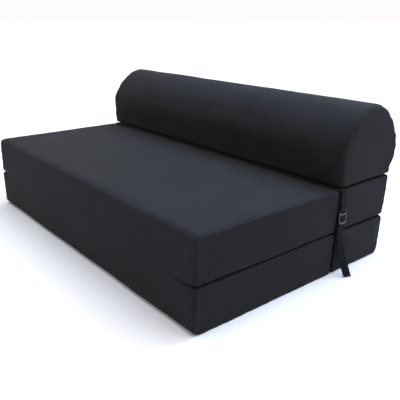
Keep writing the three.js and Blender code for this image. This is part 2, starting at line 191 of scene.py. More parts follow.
def woven_cloth(name, code, thread, sheen, roughness, relief):
    """Plain-woven cloth. Two sets of threads cross on the piece's UV map, which is in metres, each a sine of
    its own direction, and they carry the relief. The tone adds up uneven dye, painted shade of the weave
    (darker in the dips between the threads, lighter on the raised crossings), slubs of thicker yarn along
    both threads, and rubbed nap."""
    m, tree, shader = surface(name, code, roughness, sheen, gloss=0.1)
    uv = node(tree, "ShaderNodeUVMap", {"uv_map": "cloth"}).outputs["UV"]
    place = node(tree, "ShaderNodeTexCoord").outputs["Object"]
    scale = 2 * math.pi / (20 * thread)  # the wave node draws one band each 2 pi / (20 * scale) units
    warp, weft = (node(tree, "ShaderNodeTexWave", {"bands_direction": way}, Vector=uv, Scale=scale,
                       Distortion=0.6, Detail=2.0).outputs["Fac"] for way in "XY")
    weave = node(tree, "ShaderNodeMath", {"operation": "MULTIPLY"}, _0=warp, _1=weft).outputs[0]
    cloud = noise(tree, place, 9.0, 5.0, Roughness=0.6)
    nap = noise(tree, place, 140.0, 3.0)
    slubs = [noise(tree, node(tree, "ShaderNodeMapping", Vector=uv, Scale=stretch).outputs[0], 1.0, 3.0)
             for stretch in ((45, 420, 1), (420, 45, 1))]
    slub = node(tree, "ShaderNodeMath", {"operation": "ADD"}, _0=slubs[0], _1=slubs[1]).outputs[0]
    tone = cloud
    # The weave's share of the tone is painted shade: darker in the dips between the threads, lighter on the
    # raised crossings.
    for pattern, share in ((weave, 0.35), (slub, 0.5), (nap, 0.25)):
        tone = node(tree, "ShaderNodeMath", {"operation": "MULTIPLY_ADD"}, _0=pattern, _1=share,
                    _2=tone).outputs[0]
    tone = node(tree, "ShaderNodeMapRange", Value=tone, From_Min=0.85, From_Max=1.6).outputs[0]
    tone = shade_between(tree, tone, scaled(code, 0.6), scaled(code, 1.4))
    tree.links.new(tone, shader.inputs["Base Color"])
    rough = node(tree, "ShaderNodeMapRange", Value=cloud, To_Min=roughness - 0.06, To_Max=roughness + 0.05)
    tree.links.new(rough.outputs[0], shader.inputs["Roughness"])
    fine = node(tree, "ShaderNodeBump", Height=weave, Strength=relief, Distance=0.25 * thread)
    both = node(tree, "ShaderNodeBump", Height=nap, Strength=0.15, Distance=0.4 * MM,
                Normal=fine.outputs["Normal"])
    tree.links.new(both.outputs["Normal"], shader.inputs["Normal"])
    return m


def moulded_plastic(name, code):
    """Injection-moulded acetal: an even dark body, glossy enough for glints, with a fine spark texture."""
    m, tree, shader = surface(name, code, 0.22, ior=1.48)
    place = node(tree, "ShaderNodeTexCoord").outputs["Object"]
    grain = noise(tree, place, 900.0, 2.0)
    rough = node(tree, "ShaderNodeMapRange", Value=grain, To_Min=0.16, To_Max=0.28).outputs[0]
    tree.links.new(rough, shader.inputs["Roughness"])
    bump = node(tree, "ShaderNodeBump", Height=grain, Strength=0.2, Distance=0.1 * MM)
    tree.links.new(bump.outputs["Normal"], shader.inputs["Normal"])
    return m


def lacquered_zinc(name, code):
    """Die-cast zinc under black lacquer that is worn to bare metal in fine flecks."""
    m, tree, shader = surface(name, code, 0.38, metallic=1.0)
    place = node(tree, "ShaderNodeTexCoord").outputs["Object"]
    wear = node(tree, "ShaderNodeMapRange", Value=noise(tree, place, 700.0, 4.0), From_Min=0.5,
                From_Max=0.75).outputs[0]
    flecks = shade_between(tree, wear, linear(code), scaled(code, 4.0))
    tree.links.new(flecks, shader.inputs["Base Color"])
    return m


def open_cell_foam(name, code):
    """Cut polyurethane foam: cells about a millimetre across, open at the cut face, with painted shade
    darkening the hollow middle of each cell.
    """
    m, tree, shader = surface(name, code, 0.95)
    place = node(tree, "ShaderNodeTexCoord").outputs["Object"]
    cells = node(tree, "ShaderNodeTexVoronoi", Vector=place, Scale=700.0).outputs["Distance"]
    # Painted shade: each cell's hollow middle is darkened to 0.75 of the foam's colour, and its rim is kept
    # at full colour.
    painted_pore_shade = shade_between(tree, cells, scaled(code, 0.75), linear(code))
    tree.links.new(painted_pore_shade, shader.inputs["Base Color"])
    bump = node(tree, "ShaderNodeBump", Height=cells, Strength=0.5, Distance=0.5 * MM)
    tree.links.new(bump.outputs["Normal"], shader.inputs["Normal"])
    return m


FINISH = {}


def finishes():
    """The finishes by name, made once from the colours in the panel."""
    if not FINISH:
        c, thread = colours(), sizes().thread
        FINISH.update(
            cover=woven_cloth("Polycotton, plain woven, black", c.cover, thread,
                              sheen=0.02, roughness=0.88, relief=0.5),
            webbing=woven_cloth("Polypropylene webbing, woven, black", c.webbing, 2.2 * MM,
                                sheen=0.0, roughness=0.9, relief=0.9),
            tape=woven_cloth("Polyester zip tape, woven, black", c.webbing, 1.0 * MM,
                             sheen=0.05, roughness=0.8, relief=0.5),
            plastic=moulded_plastic("Acetal, moulded, black", c.plastic),
            metal=lacquered_zinc("Zinc, die-cast, black lacquer", c.metal),
            foam=open_cell_foam("Polyurethane foam, cut, cream", c.foam),
        )
    return FINISH


# ---- Meshes ----
WAVES = 24  # sines in the noise


def mesh_object(name, points, quads, material, uv=None, smooth=True):
    """An object at the origin from points and quads, with a UV map in metres if each corner has its own."""
    mesh = bpy.data.meshes.new(name)
    mesh.from_pydata(points, [], quads)
    mesh.update()
    if uv is not None:
        layer = mesh.uv_layers.new(name="cloth")
        layer.data.foreach_set("uv", np.asarray(uv, np.float32).ravel())
    mesh.polygons.foreach_set("use_smooth", np.full(len(mesh.polygons), smooth))
    mesh.materials.append(material)
    obj = bpy.data.objects.new(name, mesh)
    bpy.context.scene.collection.objects.link(obj)
    return obj


def fetched(items, key, width=3):
    """One property of all of a mesh's items, as rows."""
    values = np.empty(width * len(items), np.float32)
    items.foreach_get(key, values)
    return values.reshape(-1, width).astype(float)


def coordinates(obj):
    """The mesh's points as rows."""
    return fetched(obj.data.vertices, "co")


def set_coordinates(obj, points):
    """Moves the mesh's points to the rows given."""
    obj.data.vertices.foreach_set("co", np.asarray(points, np.float32).ravel())
    obj.data.update()


def normals(obj):
    """The mesh's point normals as rows."""
    return fetched(obj.data.vertex_normals, "vector")


def apply_modifiers(obj):
    """Replaces the object's mesh with what its modifiers make of it."""
    graph = bpy.context.evaluated_depsgraph_get()
    baked = bpy.data.meshes.new_from_object(obj.evaluated_get(graph), depsgraph=graph)
    old = obj.data
    obj.modifiers.clear()
    obj.data = baked
    bpy.data.meshes.remove(old)


def subdivide(obj):
    """Smooths the mesh by one level of subdivision."""
    m = obj.modifiers.new("Smooth", "SUBSURF")
    m.levels = m.render_levels = 1
    apply_modifiers(obj)


def bumps(points, wavelength, seed):
    """Smooth noise, mostly from -1 to 1: a sum of sines in random directions, about a wavelength long."""
    r = np.random.default_rng(seed)
    direction = r.normal(size=(WAVES, 3))
    direction /= np.linalg.norm(direction, axis=1)[:, None]
    k = 2 * math.pi / (wavelength * r.uniform(0.7, 1.5, WAVES))
    phase = r.uniform(0, 2 * math.pi, WAVES)
    return np.sin(points @ (direction * k[:, None]).T + phase).sum(1) / math.sqrt(WAVES) / 1.4


def travelled(line):
    """The way along a polyline to each of its points."""
    return np.r_[0, np.cumsum(np.linalg.norm(np.diff(line, axis=0), axis=1))]


def near(value, width):
    """A bell that is 1 where value is 0 and falls off over width."""
    return np.exp(-(value / width) ** 2)


# ---- Cushions ----
FOAM_PRESSURE = 4.0
CLOTH_FRAMES = 20
LOOSE_CUT = 0.003      # share by which the cloth is cut too long
SEAM_SHRINKAGE = 0.02  # share by which the end panels' seams are sewn too short
SEAM_ALLOWANCE = 7 * MM


def graded(start, end, cells):
    """Places from start to end, closer together near both: t - 0.45 sin(2 pi t) / (2 pi) of the way."""
    t = np.linspace(0, 1, cells + 1)
    return start + (end - start) * (t - 0.45 * np.sin(2 * math.pi * t) / (2 * math.pi))


def resampled(line, cells):
    """Points on a polyline, graded by its length."""
    step = travelled(line)
    at = graded(0, step[-1], cells)
    return np.stack([np.interp(at, step, line[:, k]) for k in (0, 1)], 1)


def arc(centre, radius, start, end, n=24):
    """Points on an arc of a circle, from one angle in degrees to another."""
    a = np.radians(np.linspace(start, end, n))
    return np.stack([centre[0] + radius * np.cos(a), centre[1] + radius * np.sin(a)], 1)


def bezier(p0, p1, p2, p3, n=60):
    """Points on a cubic curve: the four control points weighed by the Bernstein polynomials."""
    t = np.linspace(0, 1, n)[:, None]
    p0, p1, p2, p3 = map(np.array, (p0, p1, p2, p3))
    return (1 - t) ** 3 * p0 + 3 * t * (1 - t) ** 2 * p1 + 3 * t ** 2 * (1 - t) * p2 + t ** 3 * p3


def block_sides(low, high, radii):
    """The four sides of a rounded rectangle in Y and Z, each from the middle of one corner to the middle of
    the next: bottom, rear, top, front. The radii are of the front bottom, rear bottom, rear top and front top
    corners."""
    (y0, z0), (y1, z1) = low, high
    fb, rb, rt, ft = radii
    corners = [((y0 + fb, z0 + fb), fb, 180), ((y1 - rb, z0 + rb), rb, 270),
               ((y1 - rt, z1 - rt), rt, 0), ((y0 + ft, z1 - ft), ft, 90)]
    return [np.vstack([arc(c0, r0, t0 + 45, t0 + 90), arc(c1, r1, t1, t1 + 45)])
            for (c0, r0, t0), (c1, r1, t1) in zip(corners, corners[1:] + corners[:1])]


def bolster_sides(low, high, radii):
    """The D's four sides, as block_sides gives them: flat base, full rear, round top, nearly upright front.
    Its control points are shares of the bolster's depth and height."""
    (y0, z0), (y1, z1), r = low, high, radii[0]

    def at(u, v):
        return y0 + u * (y1 - y0), z0 + v * (z1 - z0)

    toe, heel, shoulder = at(0.025, 0)[0], at(0.925, 0)[0], at(0, 0.66)[1]
    rear = np.vstack([
        arc((heel - r, z0 + r), r, -45, 0),
        bezier((heel, z0 + r), at(0.935, 0.16), at(1, 0.2), at(1, 0.33)),
        bezier(at(1, 0.33), at(1, 0.61), at(0.75, 1), at(0.5, 1)),
    ])
    front = np.vstack([
        bezier(at(0.5, 1), at(0.24, 1), at(0, 0.61), at(0, 0.44)),
        bezier(at(0, 0.44), at(0, 0.3), at(0.02, 0.2), (toe, z0 + r)),
        arc((toe + r, z0 + r), r, 180, 225),
    ])
    base = np.vstack([arc((toe + r, z0 + r), r, 225, 270), arc((heel - r, z0 + r), r, 270, 315)])
    cut_rear = np.argmax(rear[:, 1] > shoulder)
    cut_front = np.argmax(front[:, 1] < shoulder)
    top = np.vstack([rear[cut_rear:], front[1:cut_front + 1]])
    return [base, rear[:cut_rear + 1], top, front[cut_front:]]


def squares(index):
    """The quads between neighbouring points of a grid of point numbers."""
    return np.stack([index[:-1, :-1], index[1:, :-1], index[1:, 1:], index[:-1, 1:]], 2).reshape(-1, 4)


def cushion(name, sides, x0, x1, radius, cell, material, pull=0.0, free=np.ones((2, 3))):
    """A cushion's closed grid. A profile of four sides is carried along X and drawn in towards each end along
    a quarter circle of the edge radius, and each end is closed by a patch that blends its four sides. Then
    each face is pulled in towards its edges by 1 - (1 - a^4)(1 - b^4) of the pull, a and b being how far out
    a point is along the other two axes. A side that rests on a neighbour, which has 0 in free (its rows are
    the low and high sides), is pulled in and rounded far less. The attribute from_seam holds each point's way
    to the seam that runs round the end in the middle of the rounding."""
    across = max(4, round(np.linalg.norm(sides[0][-1] - sides[0][0]) / cell))
    up = max(4, round(travelled(sides[1])[-1] / cell))
    cells = [across, up, across, up]
    ring = np.vstack([resampled(side, n)[:-1] for side, n in zip(sides, cells)])
    ring_low, ring_high = ring.min(0), ring.max(0)
    quarter = np.linspace(0, math.pi / 2, ROUNDING_STEPS + 1)[1:]
    middle = graded(x0 + radius, x1 - radius, round((x1 - x0 - 2 * radius) / cell))
    stations = np.r_[x0 + radius - radius * np.sin(quarter[::-1]), middle,
                     x1 - radius + radius * np.sin(quarter)]
    inset = np.r_[radius * (1 - np.cos(quarter[::-1])), 0 * middle, radius * (1 - np.cos(quarter))]
    drawn = 0.2 + 0.7 * free[:, 1:]
    rings = (ring_low + inset[:, None, None] * drawn[0]
             + (ring - ring_low) * (1 - inset[:, None, None] * drawn.sum(0) / (ring_high - ring_low)))
    n, m = len(stations), len(ring)
    points = np.concatenate([np.broadcast_to(stations[:, None, None], (n, m, 1)), rings], 2).reshape(-1, 3)
    to_seam = radius * math.pi / 4
    round_way = radius * np.abs(quarter - math.pi / 4)
    middle_way = to_seam + np.minimum(middle - middle[0], middle[-1] - middle)
    from_seam = np.repeat(np.r_[round_way[::-1], middle_way, round_way], m)
    index = np.arange(n * m).reshape(n, m)
    wrap = np.roll(index, -1, 1)
    quads = [np.stack([index[:-1], wrap[:-1], wrap[1:], index[1:]], 2).reshape(-1, 4)]
    around = travelled(np.vstack([ring, ring[:1]]))
    along = [g.ravel() for g in np.meshgrid(stations, around, indexing="ij")]
    place = np.arange(n * (m + 1)).reshape(n, m + 1)
    corner = np.stack([place[:-1, :-1], place[:-1, 1:], place[1:, 1:], place[1:, :-1]], 2).ravel()
    uv = [np.stack(along, 1)[corner]]
    bounds = np.cumsum([0] + cells)
    for end, faces_out in ((0, False), (n - 1, True)):
        edge = index[end]
        bottom, rear, top, front = (np.r_[edge[a:b], edge[b % m]]
                                    for a, b in zip(bounds[:-1], bounds[1:]))
        top, front = top[::-1], front[::-1]
        u = np.linspace(0, 1, across + 1)[:, None, None]
        v = np.linspace(0, 1, up + 1)[None, :, None]
        grid = ((1 - v) * points[bottom][:, None] + v * points[top][:, None]
                + (1 - u) * points[front][None] + u * points[rear][None]
                - (1 - u) * (1 - v) * points[bottom[0]] - u * (1 - v) * points[bottom[-1]]
                - (1 - u) * v * points[top[0]] - u * v * points[top[-1]])
        label = np.empty((across + 1, up + 1), int)
        inner = np.arange((across - 1) * (up - 1)).reshape(across - 1, up - 1)
        label[1:-1, 1:-1] = len(points) + inner
        label[:, 0], label[:, -1], label[0], label[-1] = bottom, top, front, rear
        points = np.vstack([points, grid[1:-1, 1:-1].reshape(-1, 3)])
        panel = grid[1:-1, 1:-1].reshape(-1, 1, 3)
        from_seam = np.r_[from_seam, to_seam + np.linalg.norm(panel - points[edge], axis=2).min(1)]
        faces = squares(label)
        faces = faces if faces_out else faces[:, ::-1]
        quads.append(faces)
        uv.append(points[faces.ravel()][:, 1:])
    low, high = points.min(0), points.max(0)
    reach = (high - low) / 2
    d = points - (low + high) / 2
    side_free = np.where(d < 0, free[0], free[1])
    flat = 1 - side_free * np.clip(np.abs(d / reach), 0, 1) ** 4
    edge = 1 - flat[:, [1, 2, 0]] * flat[:, [2, 0, 1]]
    points = (low + high) / 2 + d * (1 - pull * (0.15 + 0.85 * side_free) / reach * edge)
    obj = mesh_object(name, points, np.vstack(quads), material, np.vstack(uv))
    seam = obj.data.attributes.new("from_seam", "FLOAT", "POINT")
    seam.data.foreach_set("value", from_seam.astype(np.float32))
    return obj


def seam_way(obj):
    """Each point's way to the end panel's seam, along the cloth."""
    return fetched(obj.data.attributes["from_seam"].data, "value", 1)[:, 0]


def inflate(obj, out, give):
    """Runs the cover as cloth blown up by its foam. The end panels' seams are sewn a little shorter than the
    cloth, which is cut a little loose. A point moves out or along by at most out, and inwards by at most
    give, because the foam holds it."""
    rest, way = coordinates(obj), normals(obj)
    weight = near(seam_way(obj), SEAM_ALLOWANCE)
    group = obj.vertex_groups.new(name="sewn_short")
    for i in np.flatnonzero(weight > 0.02):
        group.add([int(i)], float(weight[i]), "REPLACE")
    s = obj.modifiers.new("Cloth", "CLOTH").settings
    s.quality = 4
    s.mass = 0.25
    s.tension_stiffness = s.compression_stiffness = 12
    s.shear_stiffness = 6
    s.bending_stiffness = 0.5
    s.use_pressure = True
    s.uniform_pressure_force = FOAM_PRESSURE
    s.effector_weights.gravity = 0
    s.vertex_group_shrink = group.name
    s.shrink_min = -LOOSE_CUT
    s.shrink_max = SEAM_SHRINKAGE
    scene = bpy.context.scene
    for f in range(1, CLOTH_FRAMES + 1):
        scene.frame_set(f)
    swollen = obj.evaluated_get(bpy.context.evaluated_depsgraph_get()).to_mesh()
    moved = fetched(swollen.vertices, "co") - rest
    obj.modifiers.clear()
    obj.vertex_groups.clear()
    scene.frame_set(1)
    depth = (moved * way).sum(1)
    along = moved - depth[:, None] * way
    depth = np.where(depth > 0, out * np.tanh(depth / out), give * np.tanh(depth / give))
    slip = np.linalg.norm(along, axis=1)
    along *= np.minimum(1, out / np.maximum(slip, 1e-9))[:, None]
    set_coordinates(obj, rest + depth[:, None] * way + along)


def settle(points, low, high, soft):
    """Holds a cushion inside its own room: past a soft margin from each wall, its points ease up to the
    wall by the margin's tanh."""
    middle, half = (low + high) / 2, (high - low) / 2
    d = points - middle
    over = np.maximum(np.abs(d) - (half - soft), 0)
    return middle + np.where(over > 0, np.sign(d) * (half - soft + soft * np.tanh(over / soft)), d)


def crease(points, start, end, width):
    """A fold along a straight line from start to end: a bell across the line, tilted so that one flank is
    hollow, times 4 t (1 - t) along it, which dies away at both ends."""
    start, end = np.array(start), np.array(end)
    line = end - start
    t = (points - start) @ line / (line @ line)
    away = points - start - t[:, None] * line
    side = away @ np.cross(line / np.linalg.norm(line), (0.35, 0.2, 1.0))
    x = side / width
    fade = np.clip(4 * t * (1 - t), 0, 1)
    return (1 - 0.8 * x) * np.exp(-x ** 2) * fade * near(np.linalg.norm(away, axis=1), 5 * width)


def dress(obj, name, seed):
    """Sewing and wear, as heights along the smoothed cover's normals: the end panels' seams as a groove with
    puckers beside it, slow hollows where the foam gives, the slack folds, and the bed that the zip's tape
    lies in."""
    s = sizes()
    p, n, way = coordinates(obj), normals(obj), seam_way(obj)
    low, high = BOX[name]
    outward = np.where(np.abs(n[:, 0]) > 0.7, 0.55, 1.0)
    pucker = bumps(p * [0.2, 1, 1], s.pucker_length, seed) * near(way, 15 * MM)
    move = s.pucker_height * PUCKERS.get(name, 1) * pucker - s.seam_depth * near(way, 1.8 * MM)
    move += outward * (s.hollows * bumps(p, 300 * MM, seed + 1)
                       + 0.35 * s.hollows * bumps(p, 110 * MM, seed + 2))
    for start, end, width, height in CREASES[name]:
        start, end = (low + (high - low) * np.array(place) for place in (start, end))
        move += height * MM * crease(p, start, end, width * MM)
    tape_low, tape_high = span(f"{name}_zip_tape")
    z = (tape_low[2] + tape_high[2]) / 2
    run_in = 6 * MM
    run = (np.clip((p[:, 1] - tape_low[1]) / run_in, 0, 1)
           * np.clip((tape_high[1] - p[:, 1]) / run_in, 0, 1))
    left_end = p[:, 0] < low[0] + 12 * MM
    sunk = ZIP_BED * run * np.exp(-((p[:, 2] - z) / (9 * MM)) ** 4) * left_end
    set_coordinates(obj, p + n * (move - sunk)[:, None])


# Corner radii of each cushion's profile, in mm: front bottom, rear bottom, rear top, front top.
CORNERS = {
    "seat_bottom": (20, 6, 4, 4), "seat_top": (4, 4, 7, 18), "back_lower": (6, 18, 7, 4),
    "back_middle": (4, 7, 7, 4), "bolster": (7, 7, 7, 7),
}
# The sides that rest on a neighbour or on the floor, as a row (0 low, 1 high) and an axis.
RESTS = {
    "seat_bottom": [(0, 2), (1, 2), (1, 1)], "seat_top": [(0, 2), (1, 1)],
    "back_lower": [(0, 2), (1, 2), (0, 1)], "back_middle": [(0, 2), (1, 2), (0, 1)], "bolster": [(0, 2)],
}
ROUNDING_STEPS = 5
ZIP_BED = 3.2 * MM
# The folds that show on a cover: start and end by shares of its box, half width and height in mm.
CREASES = {
    "bolster": [((0.60, 0.08, 0.74), (0.65, 0.42, 1.0), 4, 2.0),
                ((0.635, 0.08, 0.75), (0.68, 0.40, 1.0), 4, 1.6),
                ((0.10, 0.10, 0.86), (0.16, 0.32, 0.97), 5, 1.2)],
    "seat_top": [((0.985, 0.005, 0.92), (0.985, 0.005, 0.05), 5, 1.6),
                 ((1.0, 0.06, 0.12), (1.0, 0.30, 0.55), 8, 1.2),
                 ((0.93, 0.0, 0.02), (0.84, 0.0, 0.40), 8, 1.2)],
    "seat_bottom": [((0.985, 0.005, 0.95), (0.992, 0.005, 0.05), 5, 1.8),
                    ((0.95, 0.0, 0.97), (0.86, 0.0, 0.55), 8, 1.5),
                    ((1.0, 0.93, 0.95), (1.0, 0.80, 0.45), 8, 1.4)],
    "back_middle": [((1.0, 0.95, 0.08), (1.0, 0.6, 0.35), 6, 1.2)],
    "back_lower": [((1.0, 0.22, 0.95), (1.0, 0.45, 0.40), 7, 1.5),
                   ((1.0, 0.92, 0.9), (1.0, 0.7, 0.5), 6, 1.2)],
}
# What the bolster has more of than a block: firm foam, puckers at its seams, and rounding at its ends.
FIRMNESS = {"bolster": 2.5}
PUCKERS = {"bolster": 1.8}
ROUNDER = {"bolster": 1.6}


class SofaBedCushions(bpy.types.Operator):
    """Make the five covered cushions, blown up as cloth and sewn along their end panels"""

    bl_idname = "sofa_bed.cushions"
    bl_label = "Cushions"

    def execute(self, context):
        s = sizes()
        for seed, name in enumerate(BLOCKS):
            low, high = BOX[name]
            free = np.ones((2, 3))
            for side in RESTS[name]:
                free[side] = 0
            inner_low = low + s.slack * (0.4 + 0.6 * free[0])
            inner_high = high - s.slack * (0.4 + 0.6 * free[1])
            outline = bolster_sides if name == "bolster" else block_sides
            sides = outline(inner_low[1:], inner_high[1:], [r * MM for r in CORNERS[name]])
            pad = cushion(f"{name}_cushion", sides, inner_low[0], inner_high[0],
                          s.edge_radius * ROUNDER.get(name, 1), s.cell,
                          finishes()["cover"], s.pull, free)
            firm = FIRMNESS.get(name, 1)
            inflate(pad, s.swell / firm, s.give / firm)
            subdivide(pad)
            dress(pad, name, 10 * seed)
            set_coordinates(pad, settle(coordinates(pad), low, high, 1.2 * MM))
            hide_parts(f"{name}_cover")
            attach(pad, BODY_OF[f"{name}_cover"])
        return {"FINISHED"}


class SofaBedFoam(bpy.types.Operator):
    """Make the foam cores inside the covers"""

    bl_idname = "sofa_bed.foam"
    bl_label = "Foam cores"

    def execute(self, context):
        s = sizes()
        clear = s.slack + s.pull + s.give + 6 * MM
        for name in BLOCKS:
            low, high = (end + way * clear for end, way in zip(BOX[name], (1, -1)))
            outline = bolster_sides if name == "bolster" else block_sides
            core = cushion(f"{name}_core", outline(low[1:], high[1:], [12 * MM] * 4), low[0], high[0],
                           10 * MM, 40 * MM, finishes()["foam"])
            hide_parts(f"{name}_foam")
            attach(core, BODY_OF[f"{name}_foam"])
        return {"FINISHED"}


# ---- Hinges and straps ----
HINGE_CLOTH = 0.8 * MM
HINGE_LIFT = 0.45 * MM  # how far a hinge panel stands off its cushions beside the fold
HEM = 15 * MM           # from a hinge panel's end to the blocks' end


def slab(name, grid, thickness, material, uv):
    """A thin closed sheet: a grid of points, a second one moved against its normals by the thickness, and a
    wall of quads round the edge. The normals are the cross products of the grid's two directions."""
    du, dv = np.gradient(grid, axis=0), np.gradient(grid, axis=1)
    normal = np.cross(du, dv)
    normal /= np.linalg.norm(normal, axis=2)[..., None]
    n, m, _ = grid.shape
    front = np.arange(n * m).reshape(n, m)
    back = front + n * m
    rim = np.r_[front[:-1, 0], front[-1, :-1], front[:0:-1, -1], front[0, :0:-1]]
    rim_next = np.roll(rim, -1)
    wall = np.stack([rim, rim + n * m, rim_next + n * m, rim_next], 1)
    quads = np.vstack([squares(front), squares(back)[:, ::-1], wall])
    points = np.vstack([grid.reshape(-1, 3), (grid - thickness * normal).reshape(-1, 3)])
    flat_uv = np.vstack([uv.reshape(-1, 2)] * 2)
    return mesh_object(name, points, quads, material, flat_uv[quads.ravel()])


def ribbon(name, centre, across):
    """A webbing strap carried along a line of centres, each of its rows lying along that point's across
    direction."""
    way = travelled(centre)
    side = np.linspace(-0.5, 0.5, 9)
    grid = centre[:, None] + WEBBING_WIDTH * side[None, :, None] * across[:, None]
    uv = np.stack(np.broadcast_arrays(WEBBING_WIDTH * side[None], way[:, None]), 2)
    return slab(name, grid, WEBBING_THICKNESS, finishes()["webbing"], uv)


def smooth_route(points, n, passes):
    """Evenly spaced points on a polyline, its corners eased by averaging each point with its neighbours."""
    step = travelled(points)
    at = np.linspace(0, step[-1], n)
    line = np.stack([np.interp(at, step, points[:, k]) for k in range(3)], 1)
    for _ in range(passes):
        line[1:-1] = (line[:-2] + 2 * line[1:-1] + line[2:]) / 4
    return line


class SofaBedHinges(bpy.types.Operator):
    """Make the fabric hinges: the front panel that runs over both seat layers, the rear and bolster hinges,
    and the web between the seat and the back"""

    bl_idname = "sofa_bed.hinges"
    bl_label = "Fabric hinges"

    def execute(self, context):
        self.front()
        self.rear()
        self.under_bolster()
        self.seat_to_back()
        return {"FINISHED"}

    def sheet(self, piece, nodes, flat, rests_on):
        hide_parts(*nodes)

    def bridge(self, name, blocks, face, reach, dip, flip, folds=()):
        """Cloth that follows the faces of two stacked cushions and runs straight over the fold between them.
        It stands clear of them near the fold, and its edges run into the cushions at a flat angle. The dip
        gives how far it sinks into the fold at each place along X."""
        x = np.linspace(-1, 1, 260) * (HALF_WIDTH - HEM)
        z = FOLD_Z + reach * np.linspace(-1, 1, 49)
        way = -1 if flip else 1
        cushions = [bpy.data.objects[f"{block}_cushion"] for block in blocks]
        bpy.context.view_layer.update()
        skin = np.full((len(x), len(z)), np.nan)
        for i, xi in enumerate(x):
            for k, zk in enumerate(z):
                hits = [c.ray_cast((xi, face - way * 0.1, zk), (0, way, 0)) for c in cushions]
                found = [way * h[1].y for h in hits if h[0]]
                skin[i, k] = min(found) if found else np.nan
        open_fold = np.abs(z - FOLD_Z) < 18 * MM
        for row in skin:
            known = ~np.isnan(row) & ~open_fold
            row[:] = np.interp(z, z[known], row[known])
        for _ in range(6):
            skin[:, 1:-1] = (skin[:, :-2] + 2 * skin[:, 1:-1] + skin[:, 2:]) / 4
        t = np.abs(z - FOLD_Z) / reach
        end = np.clip((np.abs(x) - (HALF_WIDTH - 60 * MM)) / (45 * MM), 0, 1) ** 2
        tuck = HINGE_LIFT * (1 - t ** 3) - 1.0 * MM * t ** 3
        groove = np.exp(-((z - FOLD_Z) / (6 * MM)) ** 2)
        y = way * (skin - tuck[None] * (1 - end[:, None]) + 1.2 * MM * end[:, None]
                   + dip(x)[:, None] * groove)
        xx, zz = np.meshgrid(x, z, indexing="ij")
        grid = np.stack([xx, y, zz], 2)
        for start, stop, width, height in folds:
            pinch = height * crease(grid.reshape(-1, 3), start, stop, width)
            grid[:, :, 1] -= way * pinch.reshape(xx.shape)
        if flip:
            grid = grid[::-1]
        return slab(name, grid, HINGE_CLOTH, finishes()["cover"], grid[:, :, [0, 2]])

    def front(self):
        """The front panel: one cloth over both seat layers, creased into the fold only near its ends."""
        def dip(x):
            """Deepest at the two ends, and over a longer way at the right one."""
            right = np.clip((x - (HALF_WIDTH - 130 * MM)) / (110 * MM), 0, 1)
            left = np.clip((-x - (HALF_WIDTH - 80 * MM)) / (60 * MM), 0, 1)
            return 9 * MM * (right ** 1.6 + left ** 1.6)

        reach = 60 * MM
        x, y, z = HALF_WIDTH - 12 * MM, SEAT_FRONT, FOLD_Z
        folds = [((x, y, z), (x - 80 * MM, y, z - 30 * MM), 5 * MM, 1.3 * MM),
                 ((x, y, z + 2 * MM), (x - 90 * MM, y, z + 14 * MM), 5 * MM, 1.1 * MM)]
        panel = self.bridge("front_hinge_panel", ("seat_bottom", "seat_top"), SEAT_FRONT, reach, dip,
                            False, folds)
        self.sheet(panel, ["front_hinge_web"], (2 * (HALF_WIDTH - HEM), 2 * reach), ["seat_top_cushion"])
        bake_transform(panel)

    def rear(self):
        """A strip over the fold at the back, drawn a little way into it all along."""
        def dip(x):
            return 3 * MM + 4 * MM * (np.abs(x) / HALF_WIDTH) ** 8

        face, reach = BOX["back_middle"][1][1], 34 * MM
        strip = self.bridge("rear_hinge_strip", ("back_lower", "back_middle"), face, reach, dip, True)
        self.sheet(strip, ["rear_hinge_web"], (2 * (HALF_WIDTH - HEM), 2 * reach), ["back_lower_cushion"])
        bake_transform(strip)

    def flat_strip(self, name, web, axis, rows, face, seed):
        """A strip between two blocks, as large as its web along X and one other axis, with waves of a
        fraction of a millimetre on its face; and its flat size."""
        low, high = span(web)
        grid = np.zeros((120, rows, 3))
        grid[..., 0], grid[..., axis] = np.meshgrid(
            np.linspace(low[0], high[0], 120), np.linspace(low[axis], high[axis], rows), indexing="ij")
        wave = 0.2 * MM * bumps(grid.reshape(-1, 3), 80 * MM, seed)
        grid[..., 3 - axis] = face + wave.reshape(120, rows)
        strip = slab(name, grid, HINGE_CLOTH, finishes()["cover"], grid[..., [0, axis]])
        return strip, (high[0] - low[0], high[axis] - low[axis])

    def under_bolster(self):
        """A strip between the back block's top and the bolster's base."""
        strip, flat = self.flat_strip("bolster_hinge_strip", "bolster_hinge_web", axis=1, rows=9,
                                      face=span("bolster_hinge_web")[1][2], seed=90)
        self.sheet(strip, ["bolster_hinge_web"], flat, ["back_middle_cushion"])
        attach(strip, "back_middle")

    def seat_to_back(self):
        """A strip standing in the joint between the lower seat block and the lower back block."""
        strip, flat = self.flat_strip("seat_back_strip", "seat_back_web", axis=2, rows=21,
                                      face=span("seat_back_web")[0][1], seed=95)
        self.sheet(strip, ["seat_back_web"], flat, ["seat_bottom_cushion"])
        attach(strip, "seat_and_back_base")


WEBBING_WIDTH = span("strap_upper_right")[1][1] - span("strap_upper_right")[0][1]
WEBBING_THICKNESS = 1.5 * MM
BAR_RADIUS = 2.2 * MM
BUCKLE_SLOT = 5.6 * MM
BUCKLE_RUNG = 6.4 * MM
BUCKLE_RAIL = 4 * MM
BUCKLE_THICKNESS = 4.2 * MM
BUCKLE_CORNER = 7 * MM
RUNG_THICKNESS = 3.4 * MM
LIP_RISE = 2.2 * MM     # how far the lifting lip stands out from the plate
TAIL_TWIST = math.radians(25)
ENDS = (("right", 1), ("left", -1))  # and the way out along X


def from_middle(low, high):
    """The least and the greatest distance of a box from the plane X = 0."""
    return sorted((abs(low[0]), abs(high[0])))


